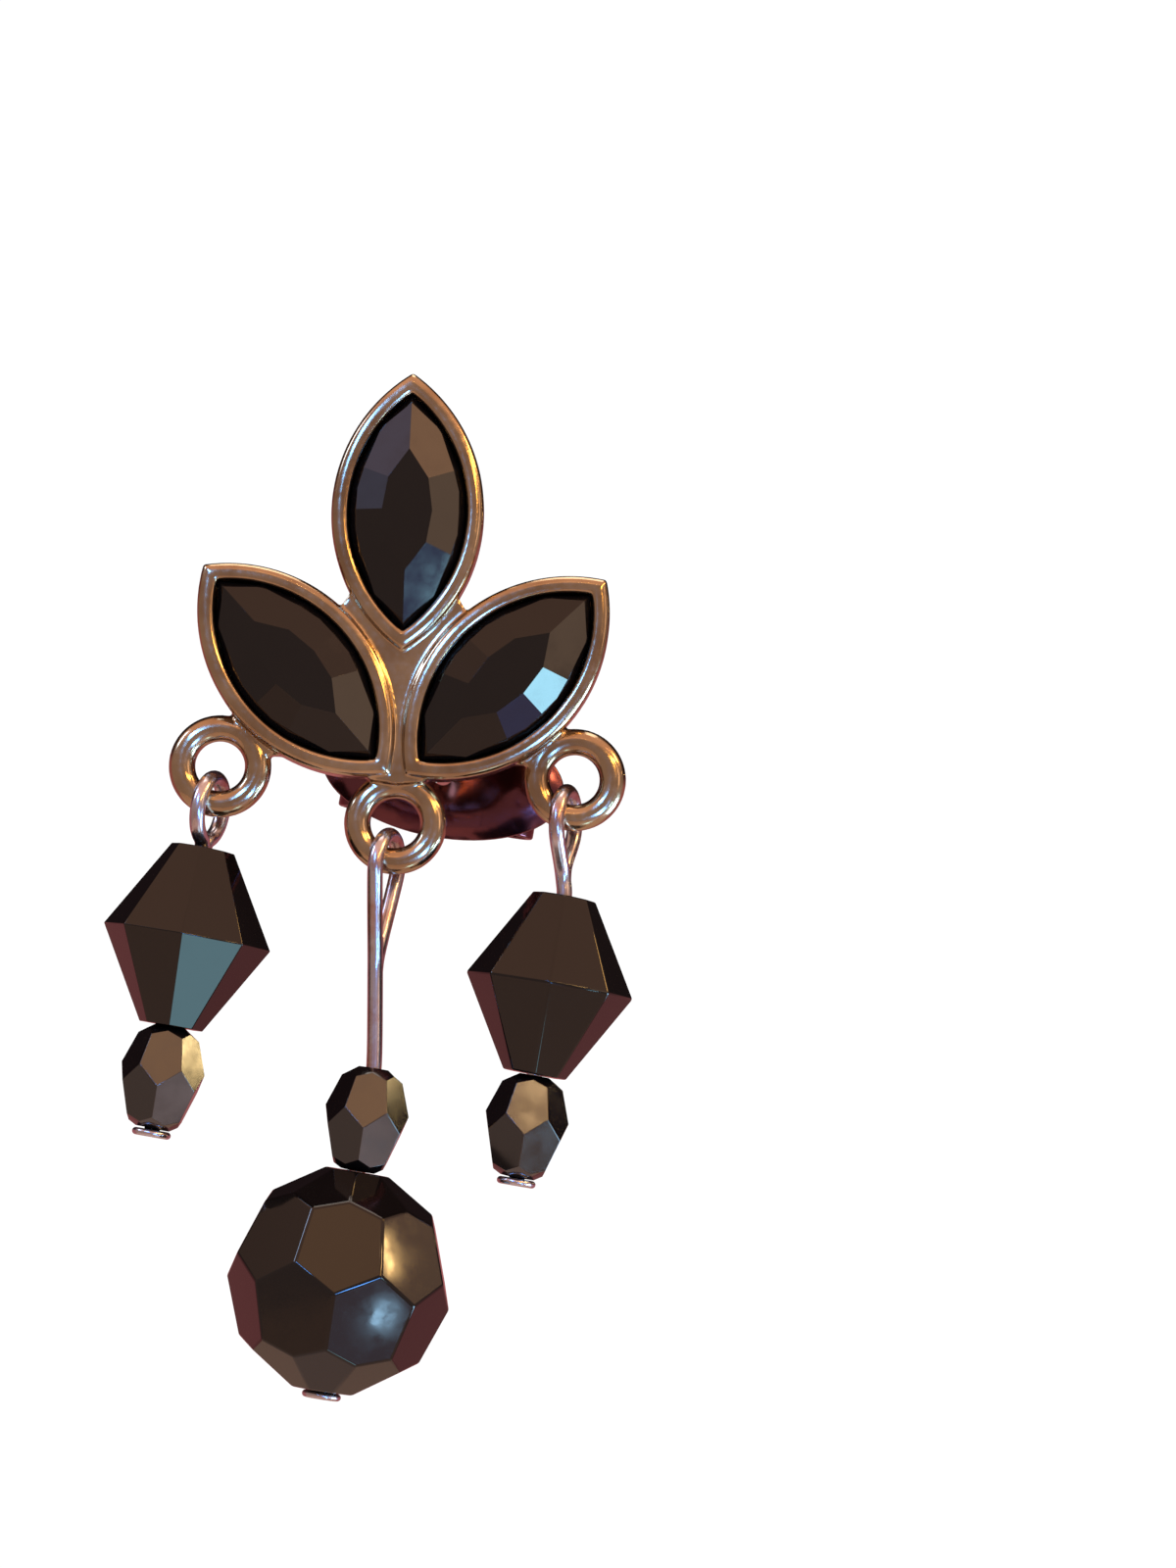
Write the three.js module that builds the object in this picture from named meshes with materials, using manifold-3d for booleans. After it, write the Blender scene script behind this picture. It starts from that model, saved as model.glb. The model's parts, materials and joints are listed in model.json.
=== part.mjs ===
// Chandelier earring: a cast frame with three marquise stones and three hanging bead drops.
// Millimetres, +Z up. The front faces -Y, and the origin is the root of the ear post on the frame's back.

import * as THREE from 'three';
import { ConvexGeometry } from 'three/addons/geometries/ConvexGeometry.js';
import { mergeVertices } from 'three/addons/utils/BufferGeometryUtils.js';
import Module from 'manifold-3d';

const wasm = await Module();
wasm.setup();

const degrees = THREE.MathUtils.degToRad;

// Cup openings, the same for all three stones
const openingLength = 11.63;
const openingWidth = 5.76;
const rimWidth = 0.83;

// Levels of the frame, measured forward from its flat back
const rimTop = 2.2;
const webTop = 1.9;
const cupFloor = 0.6;
const rimRoundDepth = 0.34;
const rimRoundWidth = 0.26;

// Places of the cups: each grows outward from the inner tip of its opening. Heights are from the post.
const sideTipSpacing = 2.16;
const sideTipHeight = 0.1;
const sideSplay = degrees(43.6);
const topTipHeight = 6.38;

// The post stands this far right of the frame's axis of symmetry
const postOffset = 2.1;

// The web's lip below the side cups
const lipWidth = 2.6;
const lipDrop = 0.42;

// The frame hangs a little askew, turned anticlockwise seen from the front
const frameLean = degrees(4.8);

// Cast rings on the lower edge
const ringHole = 2.4;
const ringWire = 1.3;
const ringSetback = 0.85;
const ringStation = 1.02;
const ringSink = 0.3;
const ringSides = 16;
const wireSides = 6;

// Cast lugs between the side rings and their cups
const lugWidthAtCup = 3.3;
const lugWidthAtRing = 1.9;
const lugThickness = 1.1;
const lugRoot = 0.4;

// Stones
const stoneGap = 0.08;
const pavilionDepth = 0.85;
const girdleHeight = 0.3;
const crownHeight = 1.12;
const crownInset = 0.3;
const crownRise = 0.42;
const crownSlope = degrees(29);
const girdleSlope = degrees(54);
const pavilionSlope = degrees(138);

// Ear post and clutch
const postDiameter = 0.8;
const postLength = 9.8;
const postRoot = 0.6;
const postTip = 0.25;
const lobeSpace = 5.2;
const clutchGap = 0.1;
const clutchWidth = 12.2;
const clutchHeight = 6.2;
const clutchSheet = 0.35;
const clutchTurn = degrees(8);
const curlWidth = 4.6;
const curlRadius = 1.25;
const curlCentre = 3.5;
const curlEndRadius = 0.5;

// Eye pins
const pinWire = 0.76;
const eyeThinning = 0.03;
const eyePlay = 0.5;
const hangGap = 0.2;
const bendRun = 0.35;
const bendOverlap = 0.12;
const headDiameter = 1.9;
const headThickness = 0.36;

// Beads
const boreGap = 0.14;
const beadGap = 0.08;
const biconeWidth = 8.2;
const biconeHeight = 8.7;
const biconeEndWidth = 3.1;
const biconeSides = 8;
const smallBeadWidth = 3.62;
const smallBeadHeight = 4.95;
const smallBlankHeight = 5.75;
const roundBeadWidth = 10.35;
const roundBeadHeight = 10.6;
const roundBlankHeight = 11.3;
const flatShare = 0.945;

// The drops. ring is the ring's place on the frame, from left to right. hang is how far round the ring the
// eye sits from the lowest point, towards the left, and turn is the eye's turn about its wire. tail is how
// far the eye tapers below its round part, and neck is the straight wire between eye and beads. Each lean is
// the tilt of one length of the wire, to the right going down.
const drops = [
  {
    name: 'left', ring: -1, hang: 6, turn: 19, tail: 0.19, neck: 0.15,
    eyeLean: -3, wireLean: -3, beadLean: -3,
  },
  {
    name: 'centre', ring: 0, hang: 5, turn: 19, tail: 3.24, neck: 5,
    eyeLean: 0.5, wireLean: 6.5, beadLean: -2,
  },
  {
    name: 'right', ring: 1, hang: 6, turn: 17, tail: 0.9, neck: 1.1,
    eyeLean: 3.5, wireLean: 12, beadLean: -2.6,
  },
];

const materials = {
  castMetal: { color: '#8b6f49', roughness: 0.28, metalness: 1 },
  pinMetal: { color: '#8d8178', roughness: 0.25, metalness: 1 },
  stone: { color: '#16120f', roughness: 0.05, metalness: 0 },
  bead: { color: '#120f0e', roughness: 0.08, metalness: 0 },
};

// Joining and cutting

function solid(geometry) {
  const bare = geometry.clone();
  bare.deleteAttribute('normal');
  bare.deleteAttribute('uv');
  const merged = mergeVertices(bare, 1e-5);
  return new wasm.Manifold(new wasm.Mesh({
    numProp: 3,
    vertProperties: Float32Array.from(merged.attributes.position.array),
    triVerts: Uint32Array.from(merged.index.array),
  }));
}

function geometryOf(body) {
  const { vertProperties, triVerts } = body.getMesh();
  const geometry = new THREE.BufferGeometry();
  geometry.setAttribute('position', new THREE.BufferAttribute(vertProperties, 3));
  geometry.setIndex(new THREE.BufferAttribute(triVerts, 1));
  geometry.computeVertexNormals();
  return geometry;
}

function joined(geometries) {
  return geometries.map(solid).reduce((whole, piece) => whole.add(piece));
}

// Shapes

// A shape drawn in X and Z, given thickness between two levels in front of the back plane.
function plate(shape, back, front, round = null) {
  const roundDepth = round ? round.depth : 0;
  const geometry = new THREE.ExtrudeGeometry(shape, {
    depth: front - back - 2 * roundDepth,
    curveSegments: 6,
    bevelEnabled: round !== null,
    bevelThickness: roundDepth,
    bevelSize: round ? round.width : 0,
    bevelOffset: round ? -round.width : 0,
    bevelSegments: 2,
  });
  geometry.translate(0, 0, back + roundDepth);
  geometry.rotateX(Math.PI / 2);
  return geometry;
}

// The two arcs of the marquise outline: their radius, how far their centres lie off the long axis, and the
// angle at which they meet at the tips. offset moves the outline outward.
function marquise(offset) {
  const halfLength = openingLength / 2;
  const halfWidth = openingWidth / 2;
  const openingRadius = (halfLength ** 2 + halfWidth ** 2) / (2 * halfWidth);
  const centre = openingRadius - halfWidth;
  const radius = openingRadius + offset;
  const tipAngle = Math.acos(centre / radius);
  return { radius, centre, tipAngle, halfLength: radius * Math.sin(tipAngle) };
}

function marquiseShape(offset) {
  const { radius, centre, tipAngle } = marquise(offset);
  const shape = new THREE.Shape();
  shape.absarc(-centre, 0, radius, -tipAngle, tipAngle, false);
  shape.absarc(centre, 0, radius, Math.PI - tipAngle, Math.PI + tipAngle, false);
  return shape;
}

// A convex solid bounded by flat facets, each with an outward normal and its distance from the centre.
function cutSolid(facets) {
  const corners = [];
  const isInside = (point) => facets.every(({ normal, distance }) => normal.dot(point) < distance + 1e-6);
  const isNew = (point) => corners.every((corner) => corner.distanceTo(point) > 1e-3);
  for (let i = 0; i < facets.length; i += 1) {
    for (let j = i + 1; j < facets.length; j += 1) {
      const edge = new THREE.Vector3().crossVectors(facets[i].normal, facets[j].normal);
      for (let k = j + 1; k < facets.length; k += 1) {
        const spread = edge.dot(facets[k].normal);
        if (Math.abs(spread) > 1e-4) {
          const point = new THREE.Vector3()
            .addScaledVector(edge, facets[k].distance)
            .addScaledVector(new THREE.Vector3().crossVectors(facets[j].normal, facets[k].normal),
              facets[i].distance)
            .addScaledVector(new THREE.Vector3().crossVectors(facets[k].normal, facets[i].normal),
              facets[j].distance)
            .divideScalar(spread);
          if (isInside(point) && isNew(point)) corners.push(point);
        }
      }
    }
  }
  return new ConvexGeometry(corners);
}

// Frame

const opening = marquise(0);
const cupOutline = marquise(rimWidth);
const ringTube = ringWire / 2;
const ringRadius = (ringHole + ringWire) / 2;

// The three cups: the place of each opening's centre, and its lean from upright
const cups = [
  { name: 'left', side: -1, lean: sideSplay },
  { name: 'top', side: 0, lean: 0 },
  { name: 'right', side: 1, lean: -sideSplay },
].map(({ name, side, lean }) => {
  const tipX = side * sideTipSpacing / 2 - postOffset;
  const tipZ = side === 0 ? topTipHeight : sideTipHeight;
  const x = tipX - opening.halfLength * Math.sin(lean);
  const z = tipZ + opening.halfLength * Math.cos(lean);
  const place = new THREE.Matrix4().makeRotationY(-lean).setPosition(x, 0, z);
  return { name, side, lean, x, z, place };
});

const cupTipHeight = cups[0].z - cupOutline.halfLength * Math.cos(sideSplay);
const lipHeight = cupTipHeight - lipDrop;

// A side ring stands off the outer flank of its cup. Places across the cup are measured from its long axis.
const flankAtRing = Math.sqrt(cupOutline.radius ** 2 - ringStation ** 2) - cupOutline.centre;
const ringReach = flankAtRing + ringRadius + ringTube - ringSink;

function ringCentre(side) {
  if (side === 0) return new THREE.Vector3(-postOffset, -ringSetback, lipHeight - ringRadius);
  const cup = cups.find((candidate) => candidate.side === side);
  return new THREE.Vector3(side * ringReach, -ringSetback, -ringStation).applyMatrix4(cup.place);
}

function ringGeometry(side) {
  const ring = new THREE.TorusGeometry(ringRadius, ringTube, wireSides, ringSides);
  ring.rotateX(Math.PI / 2);
  const centre = ringCentre(side);
  ring.translate(centre.x, centre.y, centre.z);
  return ring;
}

// The lug narrows from the cup's flank to the near side of the ring's wire.
function lugGeometry(cup) {
  const foot = flankAtRing - lugRoot;
  const head = ringReach - ringRadius;
  const shape = new THREE.Shape([
    new THREE.Vector2(foot, -lugWidthAtCup / 2),
    new THREE.Vector2(head, -lugWidthAtRing / 2),
    new THREE.Vector2(head, lugWidthAtRing / 2),
    new THREE.Vector2(foot, lugWidthAtCup / 2),
  ].map((point) => new THREE.Vector2(point.x * cup.side, point.y * cup.side - ringStation)));
  const lug = plate(shape, ringSetback - lugThickness / 2, ringSetback + lugThickness / 2);
  return lug.applyMatrix4(cup.place);
}

function webGeometry() {
  const [left, top, right] = cups;
  const shape = new THREE.Shape([
    new THREE.Vector2(left.x, left.z),
    new THREE.Vector2(-postOffset - lipWidth / 2, lipHeight + lipDrop / 3),
    new THREE.Vector2(-postOffset, lipHeight),
    new THREE.Vector2(-postOffset + lipWidth / 2, lipHeight + lipDrop / 3),
    new THREE.Vector2(right.x, right.z),
    new THREE.Vector2(top.x, top.z),
  ]);
  return plate(shape, 0, webTop);
}

function postGeometry() {
  const radius = postDiameter / 2;
  return new THREE.LatheGeometry([
    new THREE.Vector2(0, -postRoot),
    new THREE.Vector2(radius, -postRoot),
    new THREE.Vector2(radius, postLength - postTip),
    new THREE.Vector2(radius - postTip, postLength),
    new THREE.Vector2(0, postLength),
  ], 12);
}

function frameGeometry() {
  const rimRound = { depth: rimRoundDepth, width: rimRoundWidth };
  const cupBodies = cups.map((cup) => (
    plate(marquiseShape(rimWidth), 0, rimTop, rimRound).applyMatrix4(cup.place)));
  const lugs = cups.filter((cup) => cup.side !== 0).map(lugGeometry);
  const rings = [-1, 0, 1].map(ringGeometry);
  const metal = joined([...cupBodies, webGeometry(), ...lugs, ...rings, postGeometry()]);
  const cutters = cups.map((cup) => (
    plate(marquiseShape(0), cupFloor, rimTop + openingWidth).applyMatrix4(cup.place)));
  return geometryOf(cutters.map(solid).reduce((body, cutter) => body.subtract(cutter), metal));
}

// Stones

// Rows of facets. edges are shares of the way round the outline from the middle of a side to the tip, and
// each facet spans two of them. slope is the facet's turn from facing forward, and level is how far the
// row's edge lies in front of the stone's base.
const stoneRows = [
  {
    edges: [0, 1 / 3, 1], slope: crownSlope, inset: crownInset,
    level: pavilionDepth + girdleHeight + crownRise,
  },
  { edges: [0, 1 / 6, 1 / 3, 2 / 3, 1], slope: girdleSlope, inset: 0, level: pavilionDepth + girdleHeight },
  { edges: [0, 1 / 6, 1 / 3, 2 / 3, 1], slope: Math.PI / 2, inset: 0, level: 0 },
  { edges: [0, 1 / 3, 1], slope: pavilionSlope, inset: 0, level: pavilionDepth },
];

function stoneGeometry() {
  const outline = marquise(-stoneGap);
  const facets = [
    { normal: new THREE.Vector3(0, -1, 0), distance: pavilionDepth + girdleHeight + crownHeight },
    { normal: new THREE.Vector3(0, 1, 0), distance: 0 },
  ];
  for (const { edges, slope, inset, level } of stoneRows) {
    for (let i = 1; i < edges.length; i += 1) {
      const middle = (edges[i] + edges[i - 1]) / 2 * outline.tipAngle;
      const halfSpan = (edges[i] - edges[i - 1]) / 2 * outline.tipAngle;
      const reach = outline.radius * Math.cos(halfSpan) - outline.centre * Math.cos(middle) - inset;
      for (const side of [1, -1]) {
        for (const end of [1, -1]) {
          const normal = new THREE.Vector3(
            side * Math.cos(middle) * Math.sin(slope),
            -Math.cos(slope),
            end * Math.sin(middle) * Math.sin(slope),
          );
          facets.push({ normal, distance: reach * Math.sin(slope) + level * Math.cos(slope) });
        }
      }
    }
  }
  return cutSolid(facets);
}

// Clutch

// A strip of sheet along a path, drawn in X and Y: the path's points moved half a thickness either way.
function stripShape(path, thickness) {
  const across = path.map((point, i) => {
    const before = path[Math.max(i - 1, 0)];
    const after = path[Math.min(i + 1, path.length - 1)];
    const along = new THREE.Vector2().subVectors(after, before).normalize();
    return new THREE.Vector2(-along.y, along.x).multiplyScalar(thickness / 2);
  });
  const outer = path.map((point, i) => point.clone().add(across[i]));
  const inner = path.map((point, i) => point.clone().sub(across[i])).reverse();
  return new THREE.Shape([...outer, ...inner]);
}

function arcPoints(x, y, radius, from, to, count) {
  return Array.from({ length: count + 1 }, (_, i) => {
    const angle = degrees(from + (to - from) * i / count);
    return new THREE.Vector2(x + radius * Math.cos(angle), y + radius * Math.sin(angle));
  });
}

// One curl rises from the plate's outer end, rolls back over it and dips in beside the post.
function curlGeometry(side) {
  const base = clutchSheet / 2;
  const inner = postDiameter / 2 + clutchGap + clutchSheet / 2 + curlEndRadius;
  const roll = arcPoints(curlCentre, base + curlRadius, curlRadius, -90, 90, 8);
  const dip = arcPoints(inner, base + 2 * curlRadius - curlEndRadius, curlEndRadius, 90, 200, 5);
  const path = [new THREE.Vector2(curlCentre - curlRadius, base), ...roll, ...dip];
  const curl = new THREE.ExtrudeGeometry(stripShape(path, clutchSheet), {
    depth: curlWidth,
    bevelEnabled: false,
  });
  curl.translate(0, 0, -curlWidth / 2);
  if (side < 0) curl.rotateZ(Math.PI).rotateX(Math.PI);
  return curl;
}

function clutchGeometry() {
  const shape = new THREE.Shape().absellipse(0, 0, clutchWidth / 2, clutchHeight / 2, 0, 2 * Math.PI);
  const sheet = plate(shape, 0, clutchSheet).translate(0, clutchSheet, 0);
  const body = joined([sheet, curlGeometry(1), curlGeometry(-1)]);
  const hole = new THREE.CylinderGeometry(postDiameter / 2 + clutchGap, postDiameter / 2 + clutchGap,
    4 * clutchSheet, 12);
  return geometryOf(body.subtract(solid(hole)));
}

// Pins

const pinRadius = pinWire / 2;
const eyeRadius = ringTube + eyePlay + pinRadius;
const eyeCentre = hangGap - eyePlay;

// One leg of the closed eye, from just past its top, round one side and down into the straight wire. The
// loop stands in the plane of Y and Z.
function legCurve(tail, side) {
  const drop = eyeRadius + tail;
  const legAngle = Math.asin(eyeRadius / drop);
  const points = [];
  const arcSteps = 6;
  for (let i = -1; i <= arcSteps; i += 1) {
    const angle = (Math.PI / 2 + legAngle) * i / arcSteps;
    points.push(new THREE.Vector3(0, side * eyeRadius * Math.sin(angle), eyeRadius * Math.cos(angle)));
  }
  points.push(new THREE.Vector3(0, side * bendRun * Math.sin(legAngle), bendRun * Math.cos(legAngle) - drop));
  points.push(new THREE.Vector3(0, 0, -drop - bendRun));
  points.push(new THREE.Vector3(0, 0, -drop - pinWire));
  points.forEach((point) => { point.z += eyeCentre; });
  return new THREE.CatmullRomCurve3(points, false, 'centripetal');
}

function wireSection(radius) {
  return new THREE.Shape(Array.from({ length: wireSides }, (_, i) => (
    new THREE.Vector2(radius, 0).rotateAround(new THREE.Vector2(), 2 * Math.PI * i / wireSides))));
}

// Straight wire down from the origin, run on above and below so that it fills its joints.
function straightWire(above, length, below) {
  const wire = new THREE.CylinderGeometry(pinRadius, pinRadius, above + length + below, wireSides);
  wire.rotateX(Math.PI / 2);
  wire.translate(0, 0, (above - length - below) / 2);
  return wire;
}

function headGeometry(top) {
  const edge = headThickness / 3;
  const head = new THREE.LatheGeometry([
    new THREE.Vector2(0, 0),
    new THREE.Vector2(headDiameter / 2 - edge, 0),
    new THREE.Vector2(headDiameter / 2, edge),
    new THREE.Vector2(headDiameter / 2, headThickness - edge),
    new THREE.Vector2(headDiameter / 2 - edge, headThickness),
    new THREE.Vector2(0, headThickness),
  ], 12);
  head.rotateX(Math.PI / 2);
  head.translate(0, 0, top - headThickness);
  return head;
}

// Places of the three lengths of the pin's wire: the eye, the neck below it and the shank in the beads.
function dropLayout(drop) {
  const [eyeTurn, neckTurn, shankTurn] = [drop.eyeLean, drop.wireLean, drop.beadLean].map((lean) => (
    new THREE.Matrix4().makeRotationY(degrees(-lean))));
  const eyeBase = new THREE.Vector3(0, 0, eyeCentre - eyeRadius - drop.tail).applyMatrix4(eyeTurn);
  const neckBase = new THREE.Vector3(0, 0, -drop.neck).applyMatrix4(neckTurn).add(eyeBase);
  neckTurn.setPosition(eyeBase);
  shankTurn.setPosition(neckBase);
  return { eyeTurn, neckTurn, shankTurn };
}

// One solid: the eye, the neck, the shank and the flat head.
function pinGeometry(drop, stackLength) {
  const { eyeTurn, neckTurn, shankTurn } = dropLayout(drop);
  const legs = [1, -1].map((side) => new THREE.ExtrudeGeometry(wireSection(pinRadius - eyeThinning), {
    steps: Math.round(15 + 2 * drop.tail),
    bevelEnabled: false,
    extrudePath: legCurve(drop.tail, side),
  }).rotateZ(degrees(-drop.turn)).applyMatrix4(eyeTurn));
  const neck = straightWire(0, drop.neck, bendOverlap).applyMatrix4(neckTurn);
  const shank = straightWire(bendOverlap, stackLength, headThickness / 2).applyMatrix4(shankTurn);
  const head = headGeometry(-stackLength).applyMatrix4(shankTurn);
  return geometryOf(joined([...legs, neck, shank, head]));
}

// Beads, each centred on its own bore along Z

function bored(geometry, height) {
  const radius = pinWire / 2 + boreGap;
  const bore = new THREE.CylinderGeometry(radius, radius, 2 * height, 10).rotateX(Math.PI / 2);
  return geometryOf(solid(geometry).subtract(solid(bore)));
}

function beadFacet(latitude, azimuth, distance) {
  const normal = new THREE.Vector3(
    Math.cos(latitude) * Math.sin(azimuth),
    -Math.cos(latitude) * Math.cos(azimuth),
    Math.sin(latitude),
  );
  return { normal, distance };
}

function beadEnds(height) {
  return [beadFacet(Math.PI / 2, 0, height / 2), beadFacet(-Math.PI / 2, 0, height / 2)];
}

// Two rows of long flats that meet at a sharp ridge round the middle, edge forward.
function biconeBead() {
  const apothem = Math.cos(Math.PI / biconeSides);
  const ridge = biconeWidth / 2 * apothem;
  const slope = Math.atan2(ridge - biconeEndWidth / 2 * apothem, biconeHeight / 2);
  const facets = beadEnds(biconeHeight);
  for (let i = 0; i < biconeSides; i += 1) {
    const azimuth = 2 * Math.PI * (i + 0.5) / biconeSides;
    facets.push(beadFacet(slope, azimuth, ridge * Math.cos(slope)));
    facets.push(beadFacet(-slope, azimuth, ridge * Math.cos(slope)));
  }
  return bored(cutSolid(facets), biconeHeight);
}

// Staggered rows of flats ground on an oval blank whose ends are then cut off. turn is a share of the step
// between flats.
function ovalBead(width, height, blankHeight, rows) {
  const facets = beadEnds(height);
  for (const { latitude, count, turn } of rows) {
    const lift = degrees(latitude);
    const distance = flatShare * Math.hypot(width / 2 * Math.cos(lift), blankHeight / 2 * Math.sin(lift));
    for (let i = 0; i < count; i += 1) {
      facets.push(beadFacet(lift, 2 * Math.PI * (i + turn) / count, distance));
    }
  }
  return bored(cutSolid(facets), height);
}

const roundBeadRows = [
  { latitude: 56, count: 8, turn: 0.5 },
  { latitude: 19, count: 8, turn: 0 },
  { latitude: -19, count: 8, turn: 0.5 },
  { latitude: -56, count: 8, turn: 0 },
];

const smallBeadRows = [
  { latitude: 58, count: 6, turn: 0.5 },
  { latitude: 17, count: 6, turn: 0 },
  { latitude: -17, count: 6, turn: 0.5 },
  { latitude: -58, count: 6, turn: 0 },
];

const beadKinds = {
  bicone: { height: biconeHeight, make: biconeBead },
  small: {
    height: smallBeadHeight,
    make: () => ovalBead(smallBeadWidth, smallBeadHeight, smallBlankHeight, smallBeadRows),
  },
  round: {
    height: roundBeadHeight,
    make: () => ovalBead(roundBeadWidth, roundBeadHeight, roundBlankHeight, roundBeadRows),
  },
};

// The beads of each drop from the top down
const stacks = {
  left: ['bicone', 'small'],
  centre: ['small', 'round'],
  right: ['bicone', 'small'],
};

// Assembly

function mesh(name, geometry, finish) {
  const piece = new THREE.Mesh(geometry, new THREE.MeshStandardMaterial(materials[finish]));
  piece.name = name;
  return piece;
}

function frameGroup() {
  const group = new THREE.Group();
  group.rotation.y = -frameLean;
  group.add(mesh('setting_frame', frameGeometry(), 'castMetal'));
  for (const cup of cups) {
    const stone = mesh(`stone_${cup.name}`, stoneGeometry(), 'stone');
    stone.position.set(cup.x, -cupFloor - stoneGap, cup.z);
    stone.rotation.y = -cup.lean;
    group.add(stone);
  }
  const clutch = mesh('ear_clutch', clutchGeometry(), 'castMetal');
  clutch.position.y = lobeSpace;
  clutch.rotation.y = clutchTurn;
  group.add(clutch);
  return group;
}

function dropGroup(drop) {
  const hang = degrees(drop.hang);
  const group = new THREE.Group();
  group.position.copy(ringCentre(drop.ring)).applyAxisAngle(new THREE.Vector3(0, 1, 0), -frameLean);
  group.position.x -= ringRadius * Math.sin(hang);
  group.position.z -= ringRadius * Math.cos(hang);
  const stack = new THREE.Group();
  stack.applyMatrix4(dropLayout(drop).shankTurn);
  let depth = 0;
  for (const kind of stacks[drop.name]) {
    const { height, make } = beadKinds[kind];
    const bead = mesh(`${drop.name}_${kind}_bead`, make(), 'bead');
    depth += beadGap + height / 2;
    bead.position.z = -depth;
    depth += height / 2;
    stack.add(bead);
  }
  group.add(stack);
  group.add(mesh(`${drop.name}_pin`, pinGeometry(drop, depth + beadGap), 'pinMetal'));
  return group;
}

const earring = new THREE.Group();
earring.add(frameGroup());
drops.forEach((drop) => earring.add(dropGroup(drop)));

export default earring;
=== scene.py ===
"""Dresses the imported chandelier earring: a cast bronze setting with jet stones, faceted bead drops on
eye pins, and a butterfly clutch behind, lit by the windows and lamps of a brown room."""

import json
import math

import bmesh
import bpy
from bpy.props import FloatProperty, FloatVectorProperty, IntProperty, PointerProperty
from mathutils import Matrix, Vector

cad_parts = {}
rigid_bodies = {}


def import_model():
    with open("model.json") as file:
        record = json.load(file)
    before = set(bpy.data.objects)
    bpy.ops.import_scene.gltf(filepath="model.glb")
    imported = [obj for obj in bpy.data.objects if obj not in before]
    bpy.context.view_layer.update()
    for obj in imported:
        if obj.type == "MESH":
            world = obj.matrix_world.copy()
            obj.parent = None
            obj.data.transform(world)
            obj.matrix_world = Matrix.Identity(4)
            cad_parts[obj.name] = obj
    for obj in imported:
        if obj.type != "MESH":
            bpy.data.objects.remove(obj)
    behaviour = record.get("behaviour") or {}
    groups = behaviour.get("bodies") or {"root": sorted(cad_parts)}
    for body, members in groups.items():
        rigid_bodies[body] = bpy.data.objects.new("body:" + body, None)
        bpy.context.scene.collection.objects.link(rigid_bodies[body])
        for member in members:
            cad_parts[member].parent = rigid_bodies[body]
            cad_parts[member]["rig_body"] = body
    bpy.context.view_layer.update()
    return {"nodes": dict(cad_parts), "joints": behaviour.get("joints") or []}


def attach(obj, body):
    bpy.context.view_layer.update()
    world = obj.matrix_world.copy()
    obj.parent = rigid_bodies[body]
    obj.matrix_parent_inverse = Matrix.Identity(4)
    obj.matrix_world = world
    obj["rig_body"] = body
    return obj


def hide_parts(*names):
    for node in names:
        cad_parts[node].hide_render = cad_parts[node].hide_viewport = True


bl_info = {
    "name": "Chandelier Earring",
    "version": (1, 0, 0),
    "blender": (4, 5, 0),
    "location": "View3D > Sidebar > Earring",
    "description": "Builds the looks of a chandelier earring around its packed frame",
    "category": "Object",
}

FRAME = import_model()
PIVOTS = {joint["child"]: Vector(joint["pos_m"]) for joint in FRAME["joints"]}

MM = 0.001

# The setting's plan, in millimetres, as in the part's source
OPENING_LENGTH = 11.63
OPENING_WIDTH = 5.76
RIM_WIDTH = 0.83
RIM_TOP = 2.2
RIM_OUTER_ROUND = 0.4
RIM_INNER_ROUND = 0.16
OPENING_FLARE = 0.1
WEB_TOP = 1.9
CUP_FLOOR = 0.6
SIDE_TIP_SPACING = 2.16
SIDE_TIP_HEIGHT = 0.1
TOP_TIP_HEIGHT = 6.38
POST_OFFSET = 2.1
SIDE_SPLAY = math.radians(43.6)
FRAME_LEAN = math.radians(4.8)
LIP_WIDTH = 2.6
LIP_DROP = 0.42
RING_HOLE = 2.4
RING_WIRE = 1.3
RING_SETBACK = 0.85
RING_STATION = 1.02
RING_SINK = 0.3
LUG_AT_CUP = 3.3
LUG_AT_RING = 1.9
LUG_THICKNESS = 1.1
LUG_ROOT = 0.4
POST_DIAMETER = 0.8
POST_LENGTH = 9.8
POST_SINK = 0.6
# How far the post's tip lies in from its side and short of its end
POST_TIP = ((0, 0.25), (0.12, 0.06), (0.25, 0))
LOBE_SPACE = 5.2

# The clutch
CLUTCH_WIDTH = 12.2
CLUTCH_HEIGHT = 6.2
CLUTCH_TURN = math.radians(8)
CLUTCH_SHEET = 0.35
CLUTCH_GAP = 0.1
CURL_WIDTH = 4.6
CURL_RADIUS = 1.25
CURL_CENTRE = 3.5
CURL_END_RADIUS = 0.5
SHEET_ROUND = 0.12
# Shares of the way from the plate's hole to its rim, each with its depth behind the plate's front
PLATE_SECTION = ((1, 0.1), (1, 0.25), (0.985, CLUTCH_SHEET), (0, CLUTCH_SHEET), (0, 0), (0.985, 0))

# The pins
PIN_WIRE = 0.76
EYE_PLAY = 0.5
HANG_GAP = 0.2
BEND_RUN = 0.35
HEAD_DIAMETER = 1.9
HEAD_THICKNESS = 0.36
BEAD_GAP = 0.08

# Each drop's wire: turn, tail, neck and the three leans, then the heights of its beads
DROPS = {
    "left": dict(turn=19, tail=0.19, neck=0.15, leans=(-3, -3, -3), beads=(8.7, 4.95)),
    "centre": dict(turn=19, tail=3.24, neck=5, leans=(0.5, 6.5, -2), beads=(4.95, 10.6)),
    "right": dict(turn=17, tail=0.9, neck=1.1, leans=(3.5, 12, -2.6), beads=(8.7, 4.95)),
}


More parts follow.
